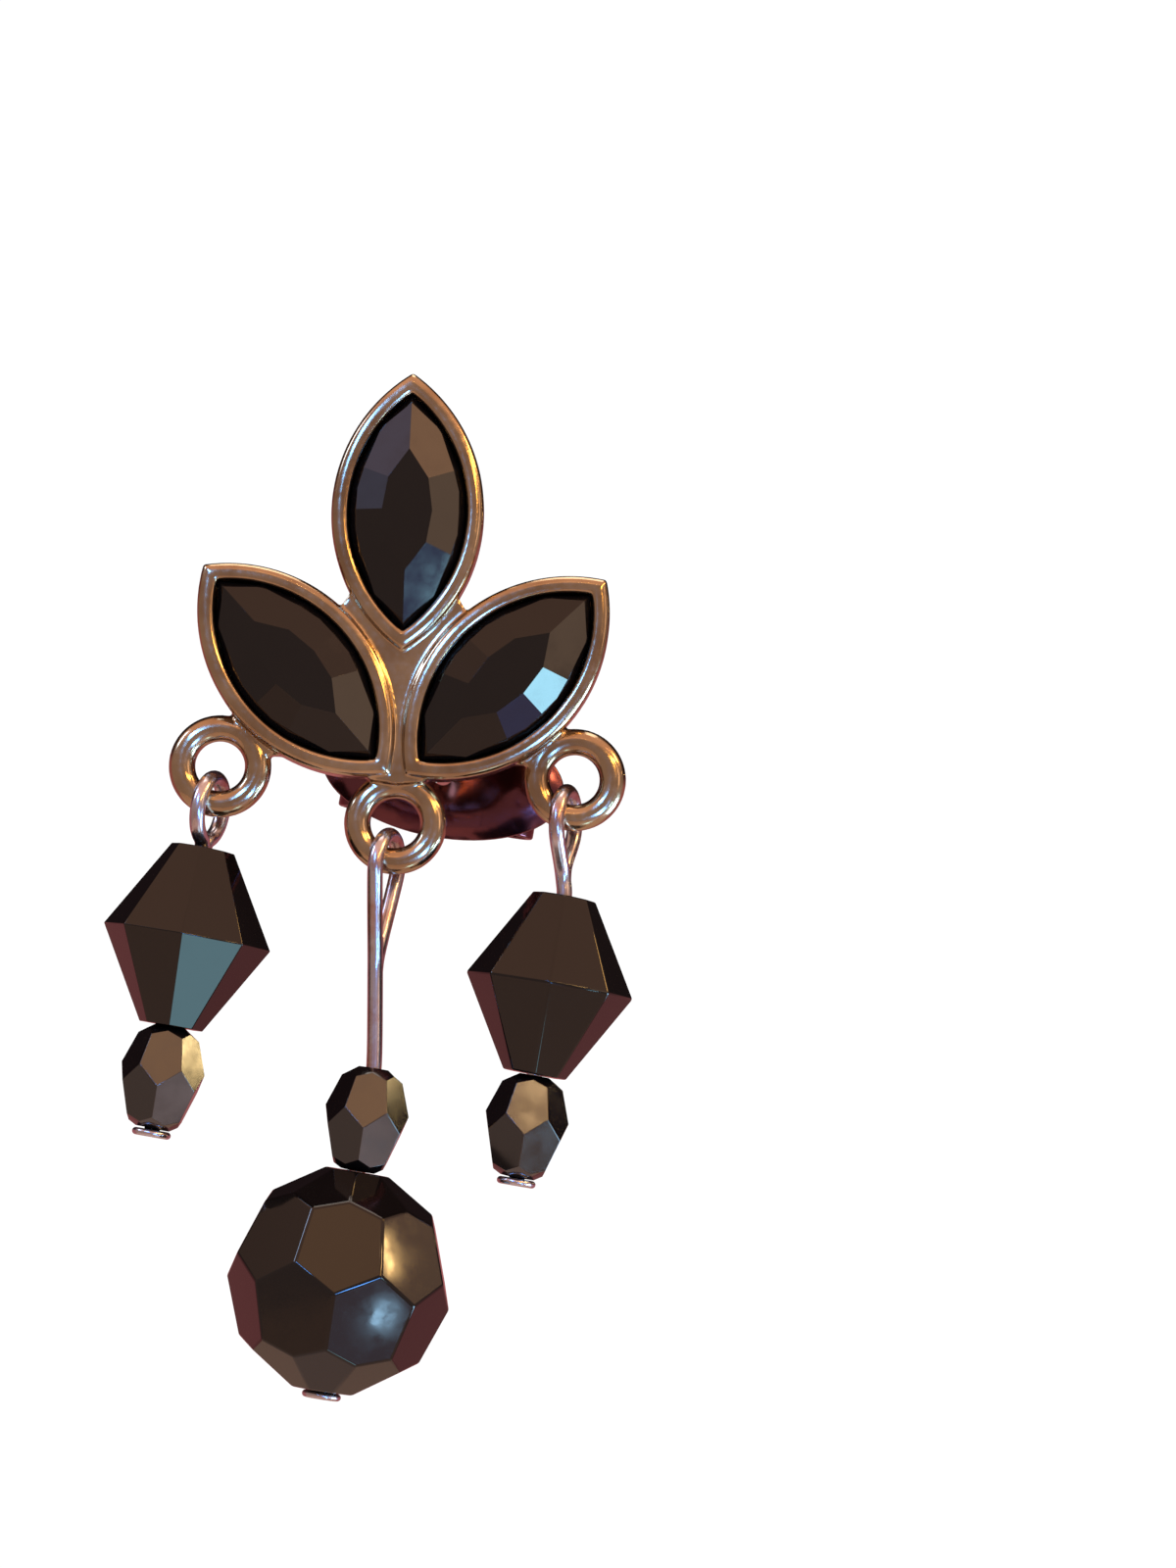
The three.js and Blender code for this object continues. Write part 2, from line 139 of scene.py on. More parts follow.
def linear(hex_colour):
    """An sRGB hex colour as linear red, green, blue and alpha."""
    channels = [int(hex_colour[i:i + 2], 16) / 255 for i in (0, 2, 4)]
    return (*(c / 12.92 if c <= 0.04045 else ((c + 0.055) / 1.055) ** 2.4 for c in channels), 1.0)


class EarringSizes(bpy.types.PropertyGroup):
    """Sizes of the finish that can be changed without a change to the frame."""

    cast_grain: FloatProperty(
        name="Casting detail", description="Edge of one face of the cast setting",
        default=0.085 * MM, min=0.05 * MM, unit="LENGTH")
    stone_edge: FloatProperty(
        name="Stone edge", description="Width of the polished round along a stone's facet edges",
        default=0.09 * MM, min=0.0, unit="LENGTH")
    bicone_edge: FloatProperty(
        name="Bicone edge", description="Width of the polished round along a bicone's facet edges",
        default=0.16 * MM, min=0.0, unit="LENGTH")
    round_edge: FloatProperty(
        name="Round bead edge", description="Width of the worn round along the round bead's facet edges",
        default=0.26 * MM, min=0.0, unit="LENGTH")
    small_edge: FloatProperty(
        name="Small bead edge", description="Width of the worn round along a small bead's facet edges",
        default=0.4 * MM, min=0.0, unit="LENGTH")
    wire_sides: IntProperty(
        name="Wire sides", description="Faces round a pin's wire", default=20, min=8)


class EarringColours(bpy.types.PropertyGroup):
    """Colours of the finishes."""

    bronze: FloatVectorProperty(
        name="Bronze", description="Polished face of the cast setting", subtype="COLOR", size=4,
        min=0.0, max=1.0, default=linear("C2AE92"))
    bronze_worn: FloatVectorProperty(
        name="Dark bronze", description="Browner patina of the setting", subtype="COLOR", size=4,
        min=0.0, max=1.0, default=linear("9A8268"))
    gunmetal: FloatVectorProperty(
        name="Gunmetal", description="Plated wire of the pins", subtype="COLOR", size=4,
        min=0.0, max=1.0, default=linear("CAC6D0"))
    copper: FloatVectorProperty(
        name="Copper edge", description="Where the wire's plating is worn to copper", subtype="COLOR",
        size=4, min=0.0, max=1.0, default=linear("B07C62"))
    # The clutch's colour is dark copper plating darkened as painted shade, for the shadow the clutch sits in
    # behind the frame
    maroon_and_painted_shade: FloatVectorProperty(
        name="Clutch plating and painted shade", description="Plating of the clutch, darkened as painted shade", subtype="COLOR", size=4,
        min=0.0, max=1.0, default=linear("7E4C56"))
    jet: FloatVectorProperty(
        name="Jet", description="Black acrylic of the stones and beads", subtype="COLOR", size=4,
        min=0.0, max=1.0, default=linear("100D0B"))


# Nodes and materials


def add(tree, kind, inputs=None, **settings):
    """Adds a node, sets its attributes, and fills or links its inputs."""
    node = tree.nodes.new(kind)
    for name, value in settings.items():
        setattr(node, name, value)
    for key, value in (inputs or {}).items():
        if isinstance(value, bpy.types.NodeSocket):
            tree.links.new(value, node.inputs[key])
        else:
            node.inputs[key].default_value = value
    return node


def new_material(name, **surface):
    """An empty material with a Principled shader whose sockets hold the given values."""
    material = bpy.data.materials.new(name)
    material.use_nodes = True
    tree = material.node_tree
    tree.nodes.clear()
    shader = add(tree, "ShaderNodeBsdfPrincipled", surface)
    add(tree, "ShaderNodeOutputMaterial", {"Surface": shader.outputs["BSDF"]})
    place = add(tree, "ShaderNodeTexCoord").outputs["Object"]
    return material, tree, shader, place


def antique_bronze(colours):
    """Zinc casting with antique bronze plating, polished, with browner patches of patina strewn at random."""
    material, tree, shader, place = new_material(
        "Antique bronze plated casting", Metallic=1.0)
    patches = add(tree, "ShaderNodeTexNoise", {
        "Vector": place, "Scale": 260.0, "Detail": 3.0, "Roughness": 0.6})
    blend = add(tree, "ShaderNodeMapRange", {
        "Value": patches.outputs["Fac"], "From Min": 0.35, "From Max": 0.68})
    tone = add(tree, "ShaderNodeMix", {
        "Factor": blend.outputs["Result"], "A": colours.bronze, "B": colours.bronze_worn},
        data_type="RGBA")
    tree.links.new(tone.outputs["Result"], shader.inputs["Base Color"])
    # Polishing marks a quarter of a millimetre apart
    marks = add(tree, "ShaderNodeTexNoise", {
        "Vector": place, "Scale": 3200.0, "Detail": 2.0, "Roughness": 0.5})
    dulled = add(tree, "ShaderNodeMapRange", {
        "Value": marks.outputs["Fac"], "From Min": 0.3, "From Max": 0.7, "To Min": 0.12, "To Max": 0.22})
    tree.links.new(dulled.outputs["Result"], shader.inputs["Roughness"])
    bump = add(tree, "ShaderNodeBump", {
        "Height": marks.outputs["Fac"], "Strength": 0.05, "Distance": 0.02 * MM})
    tree.links.new(bump.outputs["Normal"], shader.inputs["Normal"])
    return material


def gunmetal_wire(colours):
    """Steel wire with a gunmetal plating that lets copper through where it is worn."""
    material, tree, shader, place = new_material("Gunmetal plated wire", Metallic=1.0)
    wear = add(tree, "ShaderNodeTexNoise", {
        "Vector": place, "Scale": 420.0, "Detail": 4.0, "Roughness": 0.65})
    worn = add(tree, "ShaderNodeMapRange", {
        "Value": wear.outputs["Fac"], "From Min": 0.48, "From Max": 0.72})
    tone = add(tree, "ShaderNodeMix", {
        "Factor": worn.outputs["Result"], "A": colours.gunmetal, "B": colours.copper},
        data_type="RGBA")
    tree.links.new(tone.outputs["Result"], shader.inputs["Base Color"])
    dulled = add(tree, "ShaderNodeMapRange", {
        "Value": wear.outputs["Fac"], "To Min": 0.14, "To Max": 0.34})
    tree.links.new(dulled.outputs["Result"], shader.inputs["Roughness"])
    return material


def shaded_maroon_plating(colours):
    """Sheet steel with a dark copper plating, its colour darkened further as painted shade for the shadow the
    clutch sits in behind the frame, and beaten a little by its stamping so that it glints in spots.
    """
    material, tree, shader, place = new_material("Dark copper plated sheet steel", Metallic=1.0)
    # The base colour is dark copper darkened as painted shade; the half as bright copy mixed in by noise is
    # random tone
    cloud = add(tree, "ShaderNodeTexNoise", {"Vector": place, "Scale": 500.0, "Detail": 3.0})
    tone = add(tree, "ShaderNodeMix", {
        "Factor": cloud.outputs["Fac"], "A": colours.maroon_and_painted_shade,
        "B": [0.5 * part for part in colours.maroon_and_painted_shade[:3]] + [1.0]}, data_type="RGBA")
    tree.links.new(tone.outputs["Result"], shader.inputs["Base Color"])
    dulled = add(tree, "ShaderNodeMapRange", {
        "Value": cloud.outputs["Fac"], "To Min": 0.14, "To Max": 0.26})
    tree.links.new(dulled.outputs["Result"], shader.inputs["Roughness"])
    # Dents about a millimetre apart
    dents = add(tree, "ShaderNodeTexVoronoi", {"Vector": place, "Scale": 900.0}, feature="SMOOTH_F1")
    bump = add(tree, "ShaderNodeBump", {
        "Height": dents.outputs["Distance"], "Strength": 0.35, "Distance": 0.25 * MM})
    tree.links.new(bump.outputs["Normal"], shader.inputs["Normal"])
    return material


def jet_acrylic(colours, name, polish, ior=1.49):
    """Black acrylic cut in facets and tumble polished, clear enough that only its gloss shows."""
    material, tree, shader, place = new_material(name, IOR=ior)
    cloud = add(tree, "ShaderNodeTexNoise", {
        "Vector": place, "Scale": 180.0, "Detail": 2.0, "Roughness": 0.5})
    tone = add(tree, "ShaderNodeMix", {
        "Factor": cloud.outputs["Fac"], "A": colours.jet,
        "B": [0.6 * part for part in colours.jet[:3]] + [1.0]}, data_type="RGBA")
    tree.links.new(tone.outputs["Result"], shader.inputs["Base Color"])
    haze = add(tree, "ShaderNodeTexNoise", {
        "Vector": place, "Scale": 900.0, "Detail": 3.0, "Roughness": 0.6})
    dulled = add(tree, "ShaderNodeMapRange", {
        "Value": haze.outputs["Fac"], "From Min": 0.3, "From Max": 0.7,
        "To Min": polish, "To Max": polish + 0.06})
    tree.links.new(dulled.outputs["Result"], shader.inputs["Roughness"])
    return material


# Mesh helpers


def keep(name, mesh, body, slot, material, *nodes):
    """Links a finished mesh as a piece that rides on a body and stands for the CAD nodes."""
    mesh.name = name
    piece = bpy.data.objects.new(name, mesh)
    bpy.context.scene.collection.objects.link(piece)
    if not mesh.materials:
        mesh.materials.append(material)
    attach(piece, body)
    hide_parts(*nodes)
    return piece


def scratch(name, mesh):
    """A temporary object."""
    made = bpy.data.objects.new(name, mesh)
    bpy.context.scene.collection.objects.link(made)
    return made


def plain_mesh(made):
    """The evaluated mesh of a temporary object, which is then removed with its modifiers."""
    depsgraph = bpy.context.evaluated_depsgraph_get()
    depsgraph.update()
    mesh = bpy.data.meshes.new_from_object(made.evaluated_get(depsgraph))
    made.modifiers.clear()
    bpy.data.objects.remove(made)
    return mesh


def lofted(loops, closed=False):
    """A closed skin over loops of equal length, capped at both ends unless it closes on itself."""
    work = bmesh.new()
    rows = [[work.verts.new(point) for point in loop] for loop in loops]
    pairs = list(zip(rows, rows[1:])) + ([(rows[-1], rows[0])] if closed else [])
    for lower, upper in pairs:
        for i in range(len(lower)):
            j = (i + 1) % len(lower)
            work.faces.new((lower[i], lower[j], upper[j], upper[i]))
    if not closed:
        work.faces.new(rows[0][::-1])
        work.faces.new(rows[-1])
    bmesh.ops.recalc_face_normals(work, faces=work.faces)
    mesh = bpy.data.meshes.new("loft")
    work.to_mesh(mesh)
    work.free()
    return mesh


def turned(profile, sides=40):
    """A solid turned about the Z axis from (radius, height) points that start and end on it."""
    loops = [[(radius * math.cos(2 * math.pi * i / sides), radius * math.sin(2 * math.pi * i / sides), height)
              for i in range(sides)] for radius, height in profile]
    return lofted(loops)


def joined(meshes):
    """One mesh with the faces of all the meshes, left as they are."""
    work = bmesh.new()
    for mesh in meshes:
        work.from_mesh(mesh)
    mesh = bpy.data.meshes.new("joined")
    work.to_mesh(mesh)
    work.free()
    return mesh


def united(meshes, cutters=()):
    """One solid of all the meshes, less the cutters."""
    base = scratch("base", meshes[0])
    tools = []
    for operation, group in (("UNION", meshes[1:]), ("DIFFERENCE", cutters)):
        for mesh in group:
            tool = scratch("tool", mesh)
            tools.append(tool)
            cut = base.modifiers.new("cut", "BOOLEAN")
            cut.operation = operation
            cut.solver = "MANIFOLD"
            cut.object = tool
    mesh = plain_mesh(base)
    for tool in tools:
        bpy.data.objects.remove(tool)
    return mesh


# Geometry Nodes


def new_tree(name, inputs):
    """A geometry tree with the named inputs, and the sockets that give them."""
    tree = bpy.data.node_groups.new(name, "GeometryNodeTree")
    tree.interface.new_socket("Geometry", in_out="INPUT", socket_type="NodeSocketGeometry")
    for label, kind in inputs.items():
        tree.interface.new_socket(label, in_out="INPUT", socket_type=kind)
    tree.interface.new_socket("Geometry", in_out="OUTPUT", socket_type="NodeSocketGeometry")
    return tree, add(tree, "NodeGroupInput").outputs


def close_tree(tree, geometry, material):
    """Ends a tree in smooth shading, real geometry and its material."""
    smooth = add(tree, "GeometryNodeSetShadeSmooth", {"Geometry": geometry})
    real = add(tree, "GeometryNodeRealizeInstances", {"Geometry": smooth.outputs["Geometry"]})
    coated = add(tree, "GeometryNodeSetMaterial", {
        "Geometry": real.outputs["Geometry"], "Material": material})
    add(tree, "NodeGroupOutput", {"Geometry": coated.outputs["Geometry"]})


def round_wire_tree():
    """Round wire that follows a path of edges."""
    tree, given = new_tree("Round wire", {
        "Radius": "NodeSocketFloat", "Sides": "NodeSocketInt", "Material": "NodeSocketMaterial"})
    path = add(tree, "GeometryNodeMeshToCurve", {"Mesh": given["Geometry"]})
    section = add(tree, "GeometryNodeCurvePrimitiveCircle", {
        "Resolution": given["Sides"], "Radius": given["Radius"]})
    wire = add(tree, "GeometryNodeCurveToMesh", {
        "Curve": path.outputs["Curve"], "Profile Curve": section.outputs["Curve"], "Fill Caps": True})
    close_tree(tree, wire.outputs["Mesh"], given["Material"])
    return tree


def sheet_strip_tree():
    """A strip of sheet with rounded edges that follows a path of edges."""
    tree, given = new_tree("Sheet strip", {
        "Width": "NodeSocketFloat", "Thickness": "NodeSocketFloat", "Round": "NodeSocketFloat",
        "Material": "NodeSocketMaterial"})
    path = add(tree, "GeometryNodeMeshToCurve", {"Mesh": given["Geometry"]})
    section = add(tree, "GeometryNodeCurvePrimitiveQuadrilateral", {
        "Width": given["Thickness"], "Height": given["Width"]})
    eased = add(tree, "GeometryNodeFilletCurve", {
        "Curve": section.outputs["Curve"], "Radius": given["Round"], "Count": 4}, mode="POLY")
    strip = add(tree, "GeometryNodeCurveToMesh", {
        "Curve": path.outputs["Curve"], "Profile Curve": eased.outputs["Curve"], "Fill Caps": True})
    close_tree(tree, strip.outputs["Mesh"], given["Material"])
    return tree


def cast_rings_tree():
    """A ring of round wire at each point."""
    tree, given = new_tree("Cast rings", {
        "Ring radius": "NodeSocketFloat", "Wire radius": "NodeSocketFloat", "Material": "NodeSocketMaterial"})
    circle = add(tree, "GeometryNodeCurvePrimitiveCircle", {
        "Resolution": 72, "Radius": given["Ring radius"]})
    section = add(tree, "GeometryNodeCurvePrimitiveCircle", {
        "Resolution": 28, "Radius": given["Wire radius"]})
    ring = add(tree, "GeometryNodeCurveToMesh", {
        "Curve": circle.outputs["Curve"], "Profile Curve": section.outputs["Curve"]})
    rings = add(tree, "GeometryNodeInstanceOnPoints", {
        "Points": given["Geometry"], "Instance": ring.outputs["Mesh"],
        "Rotation": (math.pi / 2, 0.0, 0.0)})
    close_tree(tree, rings.outputs["Instances"], given["Material"])
    return tree


def grown(points, tree, linked=True, **inputs):
    """Runs a geometry tree on points, joined by edges if linked, and returns the plain mesh."""
    base = bpy.data.meshes.new("path")
    edges = [(i, i + 1) for i in range(len(points) - 1)] if linked else []
    base.from_pydata([tuple(point) for point in points], edges, [])
    made = scratch("path", base)
    grow = made.modifiers.new("grow", "NODES")
    grow.node_group = tree
    sockets = {item.name: item.identifier for item in tree.interface.items_tree if item.in_out == "INPUT"}
    for label, value in inputs.items():
        grow[sockets[label.replace("_", " ")]] = value
    return plain_mesh(made)


# The cast setting


def marquise(offset):
    """Radius, centre distance and tip angle of the stone outline's two arcs, moved out by offset."""
    half_length, half_width = OPENING_LENGTH / 2, OPENING_WIDTH / 2
    opening_radius = (half_length ** 2 + half_width ** 2) / (2 * half_width)
    centre = opening_radius - half_width
    radius = opening_radius + offset
    return radius, centre, math.acos(centre / radius)


def marquise_loop(offset, level, steps=40):
    """The outline as points in front of the back plane by level."""
    radius, centre, tip = marquise(offset)
    loop = []
    for side in (1, -1):
        for i in range(steps):
            angle = tip * (2 * i / steps - 1)
            loop.append(Vector((side * (radius * math.cos(angle) - centre), -level,
                                side * radius * math.sin(angle))))
    return loop


def half_length(offset):
    """Half the length of the outline moved out by offset, from its middle to a tip."""
    radius, _, tip = marquise(offset)
    return radius * math.sin(tip)


def cup_places():
    """Where each cup's middle is, and how it leans, as matrices in the frame's own plane."""
    places = {}
    for name, side in (("left", -1), ("top", 0), ("right", 1)):
        lean = -side * SIDE_SPLAY
        reach = half_length(0)
        x = side * SIDE_TIP_SPACING / 2 - POST_OFFSET - reach * math.sin(lean)
        z = (TOP_TIP_HEIGHT if side == 0 else SIDE_TIP_HEIGHT) + reach * math.cos(lean)
        places[name] = Matrix.Translation((x, 0, z)) @ Matrix.Rotation(-lean, 4, "Y")
    return places


def arc(middle, radii, start, end, steps):
    """Points on a quarter or half of an ellipse, from a start to an end angle in degrees."""
    return [(middle[0] + radii[0] * math.cos(math.radians(start + (end - start) * i / steps)),
             middle[1] + radii[1] * math.sin(math.radians(start + (end - start) * i / steps)))
            for i in range(steps + 1)]


def cup_mesh():
    """A cup's solid before its opening is cut: straight flanks and a rounded rim."""
    profile = [(RIM_WIDTH, 0.0)]
    outer, inner = RIM_OUTER_ROUND, RIM_INNER_ROUND
    profile += arc((RIM_WIDTH - outer, RIM_TOP - outer), (outer, outer), 0, 90, 8)
    profile += arc((inner, RIM_TOP - inner), (inner, inner), 90, 180, 4)
    return lofted([marquise_loop(offset, level) for offset, level in profile])


def opening_mesh():
    """What is cut from a cup for its stone, a little wider at the rim."""
    levels = ((0, CUP_FLOOR), (0, RIM_TOP - RIM_INNER_ROUND), (OPENING_FLARE, RIM_TOP),
              (OPENING_FLARE, RIM_TOP + 2))
    return lofted([marquise_loop(offset, level) for offset, level in levels])


def slab(corners, back, front):
    """A flat slab from corners in X and Z, between two levels in front of the back plane."""
    return lofted([[(x, -back, z) for x, z in corners], [(x, -front, z) for x, z in corners]])


def placed(mesh, matrix):
    """The mesh itself, moved."""
    mesh.transform(matrix)
    return mesh


class EARRING_OT_cast_setting(bpy.types.Operator):
    """Builds the cast setting with its cups, web, rings, lugs and ear post as one smooth casting"""

    bl_idname = "earring.cast_setting"
    bl_label = "Cast setting"

    def execute(self, context):
        sizes, colours = context.scene.earring_sizes, context.scene.earring_colours
        material = antique_bronze(colours)
        places = cup_places()
        outer_radius, centre, _ = marquise(RIM_WIDTH)
        flank = math.sqrt(outer_radius ** 2 - RING_STATION ** 2) - centre
        ring_radius = (RING_HOLE + RING_WIRE) / 2
        reach = flank + ring_radius + RING_WIRE / 2 - RING_SINK
        lip = places["left"].translation.z - half_length(RIM_WIDTH) * math.cos(SIDE_SPLAY) - LIP_DROP
        centres = [places["left"] @ Vector((-reach, -RING_SETBACK, -RING_STATION)),
                   Vector((-POST_OFFSET, -RING_SETBACK, lip - ring_radius)),
                   places["right"] @ Vector((reach, -RING_SETBACK, -RING_STATION))]
        rings = grown(centres, cast_rings_tree(), linked=False, Ring_radius=ring_radius,
                      Wire_radius=RING_WIRE / 2, Material=material)
        web = slab([
            (places["left"].translation.x, places["left"].translation.z),
            (-POST_OFFSET - LIP_WIDTH / 2, lip + LIP_DROP / 3),
            (-POST_OFFSET, lip),
            (-POST_OFFSET + LIP_WIDTH / 2, lip + LIP_DROP / 3),
            (places["right"].translation.x, places["right"].translation.z),
            (places["top"].translation.x, places["top"].translation.z)], 0, WEB_TOP)
        lugs = []
        for side, name in ((-1, "left"), (1, "right")):
            foot, head = flank - LUG_ROOT, reach - ring_radius
            corners = [(foot, -LUG_AT_CUP / 2), (head, -LUG_AT_RING / 2),
                       (head, LUG_AT_RING / 2), (foot, LUG_AT_CUP / 2)]
            corners = [(side * x, side * z - RING_STATION) for x, z in corners]
            lugs.append(placed(slab(corners, RING_SETBACK - LUG_THICKNESS / 2,
                                    RING_SETBACK + LUG_THICKNESS / 2), places[name]))
        radius = POST_DIAMETER / 2
        post = turned([(radius, -POST_SINK)] + [(radius - inward, POST_LENGTH - short)
                                                for inward, short in POST_TIP])
        post.transform(Matrix.Rotation(-math.pi / 2, 4, "X"))
        solids = [placed(cup_mesh(), place) for place in places.values()] + [web, *lugs, rings, post]
        body = united(solids, [placed(opening_mesh(), place) for place in places.values()])
        made = scratch("casting", body)
        skin = made.modifiers.new("skin", "REMESH")
        skin.mode = "VOXEL"
        skin.voxel_size = sizes.cast_grain / MM
        skin.use_smooth_shade = True
        ease = made.modifiers.new("ease", "SMOOTH")
        ease.factor = 0.5
        ease.iterations = 6
        thin = made.modifiers.new("thin", "DECIMATE")
        thin.ratio = 0.75
        mesh = plain_mesh(made)
        mesh.transform(Matrix.Scale(MM, 4) @ Matrix.Rotation(-FRAME_LEAN, 4, "Y"))
        mesh.materials.clear()
        mesh.polygons.foreach_set("use_smooth", [True] * len(mesh.polygons))
        keep("cast_setting", mesh, "frame", "cast_metal", material, "setting_frame")
        return {"FINISHED"}


# Stones and beads


def eased_solid(node, width, reach=0.0):
    """A copy of a cut CAD solid with a polished round along every facet edge, and ends moved out by reach."""
    source = FRAME["nodes"][node].data
    work = bmesh.new()
    work.from_mesh(source)
    bmesh.ops.remove_doubles(work, verts=work.verts, dist=0.001 * MM)
    bmesh.ops.dissolve_limit(work, angle_limit=math.radians(1), verts=work.verts, edges=work.edges)
    if reach:
        ends = sorted(work.faces, key=lambda face: face.calc_center_median().z)
        for face, side in ((ends[0], -1), (ends[-1], 1)):
            axis = face.normal.copy()
            if axis.z * side > 0.9:
                for vert in face.verts:
                    vert.co += axis * reach
    mesh = bpy.data.meshes.new(node)
    work.to_mesh(mesh)
    work.free()
    mesh.materials.clear()
    made = scratch(node, mesh)
    bevel = made.modifiers.new("bevel", "BEVEL")
    bevel.width = width
    bevel.segments = 3
    bevel.limit_method = "ANGLE"
    bevel.angle_limit = math.radians(8)
    flat = made.modifiers.new("flat facets", "WEIGHTED_NORMAL")
    flat.weight = 100
    flat.keep_sharp = False
    mesh.polygons.foreach_set("use_smooth", [True] * len(mesh.polygons))
    return plain_mesh(made)


class EARRING_OT_marquise_stones(bpy.types.Operator):
    """Builds the three marquise stones with their facet edges eased by polishing"""

    bl_idname = "earring.marquise_stones"
    bl_label = "Marquise stones"

    def execute(self, context):
        sizes, colours = context.scene.earring_sizes, context.scene.earring_colours
        material = jet_acrylic(colours, "Jet acrylic stone, moulded and polished", 0.03)
        for name in ("left", "top", "right"):
            mesh = eased_solid(f"stone_{name}", sizes.stone_edge)
            keep(f"marquise_stone_{name}", mesh, "frame", "marquise_stone", material, f"stone_{name}")
        return {"FINISHED"}


class EARRING_OT_faceted_beads(bpy.types.Operator):
    """Builds the six faceted beads with their facet edges eased by tumbling"""

    bl_idname = "earring.faceted_beads"
    bl_label = "Faceted beads"

    def execute(self, context):
        sizes, colours = context.scene.earring_sizes, context.scene.earring_colours
        plain = jet_acrylic(colours, "Jet acrylic bead, fire polished", 0.02)
        coated = jet_acrylic(colours, "Jet acrylic bead, half coated", 0.08, ior=1.9)
        for node, thing in sorted(FRAME["nodes"].items()):
            if not node.endswith("_bead"):
                continue
            kind = next(kind for kind in ("bicone", "round", "small") if kind in node)
            mesh = eased_solid(node, getattr(sizes, f"{kind}_edge"), reach=BEAD_GAP / 2 * MM)
            slot, material = ("small_bead", coated) if kind == "small" else ("black_bead", plain)
            keep(f"cut_{node}", mesh, thing["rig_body"], slot, material, node)
        return {"FINISHED"}


# Pins


def smooth_path(points, steps=6):
    """A centripetal Catmull-Rom curve through points."""
    ends = [2 * points[0] - points[1], *points, 2 * points[-1] - points[-2]]
    path = []
    for a, b, c, d in zip(ends, ends[1:], ends[2:], ends[3:]):
        t1 = (b - a).length ** 0.5
        t2 = t1 + (c - b).length ** 0.5
        t3 = t2 + (d - c).length ** 0.5
        for i in range(steps):
            t = t1 + (t2 - t1) * i / steps
            p = a.lerp(b, t / t1)
            q = b.lerp(c, (t - t1) / (t2 - t1))
            r = c.lerp(d, (t - t2) / (t3 - t2))
            path.append(p.lerp(q, t / t2).lerp(q.lerp(r, (t - t1) / (t3 - t1)), (t - t1) / (t2 - t1)))
    return path + [points[-1]]


def pin_paths(drop):
    """The drop's wire down the eye's front leg to its head, the eye's back leg, and the head's place."""
    radius = PIN_WIRE / 2
    eye_radius = RING_WIRE / 2 + EYE_PLAY + radius
    centre = HANG_GAP - EYE_PLAY
    base = eye_radius + drop["tail"]
    leg = math.asin(eye_radius / base)
    eye_turn, neck_turn, shank_turn = (
        Matrix.Rotation(-math.radians(lean), 4, "Y") for lean in drop["leans"])
    loop_turn = eye_turn @ Matrix.Rotation(-math.radians(drop["turn"]), 4, "Z")
    eye_base = eye_turn @ Vector((0, 0, centre - base))
    neck_base = eye_base + neck_turn @ Vector((0, 0, -drop["neck"]))
    halves = []
    for side in (-1, 1):
        points = []
        for i in range(8):
            angle = (math.pi / 2 + leg) * i / 7
            points.append(Vector((0, side * eye_radius * math.sin(angle),
                                  eye_radius * math.cos(angle) + centre)))
        points.append(Vector((0, side * BEND_RUN * math.sin(leg), BEND_RUN * math.cos(leg) + centre - base)))
        halves.append([loop_turn @ point for point in points])
    front, back = halves
    front[0:0] = [back[2], back[1]]
    back.append(eye_base + neck_turn @ Vector((0, 0, -BEND_RUN)))
    if drop["neck"] > 2 * BEND_RUN:
        front.append(eye_base + neck_turn @ Vector((0, 0, -BEND_RUN)))
        front.append(neck_base + neck_turn @ Vector((0, 0, BEND_RUN / 2)))
    stack = sum(drop["beads"]) + BEAD_GAP * (len(drop["beads"]) + 1)
    for depth in (BEND_RUN, 1.5, stack + HEAD_THICKNESS / 2):
        front.append(neck_base + shank_turn @ Vector((0, 0, -depth)))
    head_place = Matrix.Translation(neck_base) @ shank_turn @ Matrix.Translation((0, 0, -stack))
    return smooth_path(front), smooth_path(back), head_place


class EARRING_OT_eye_pins(bpy.types.Operator):
    """Builds the three bent eye pins with their flat heads"""

    bl_idname = "earring.eye_pins"
    bl_label = "Eye pins"

    def execute(self, context):
        sizes, colours = context.scene.earring_sizes, context.scene.earring_colours
        material = gunmetal_wire(colours)
        tree = round_wire_tree()
        for name, drop in DROPS.items():
            front, back, head_place = pin_paths(drop)
            legs = [grown(path, tree, Radius=PIN_WIRE / 2, Sides=sizes.wire_sides, Material=material)
                    for path in (front, back)]
            half, edge = HEAD_DIAMETER / 2, HEAD_THICKNESS / 2
            profile = [(0.02, 0.0)] + arc((half - edge, -edge), (edge, edge), 90, -90, 8)
            profile.append((0.02, -HEAD_THICKNESS))
            head = placed(turned(profile), head_place)
            mesh = united([*legs, head])
            mesh.polygons.foreach_set("use_smooth", [True] * len(mesh.polygons))
            body = f"{name}_drop"
            mesh.transform(Matrix.Translation(PIVOTS[body]) @ Matrix.Scale(MM, 4))
            keep(f"eye_pin_{name}", mesh, body, "pin_metal", material, f"{name}_pin")
        return {"FINISHED"}


# Clutch


def curl_path(side):
    """The line of one curl, from the plate's outer part over and back beside the post."""
    base = CLUTCH_SHEET / 2
    inner = POST_DIAMETER / 2 + CLUTCH_GAP + CLUTCH_SHEET / 2 + CURL_END_RADIUS
    line = [(CURL_CENTRE - CURL_RADIUS, base)]
    line += arc((CURL_CENTRE, base + CURL_RADIUS), (CURL_RADIUS, CURL_RADIUS), -90, 90, 24)
    line += arc((inner, base + 2 * CURL_RADIUS - CURL_END_RADIUS),
                (CURL_END_RADIUS, CURL_END_RADIUS), 90, 200, 12)
    return [Vector((side * x, y, 0)) for x, y in line]


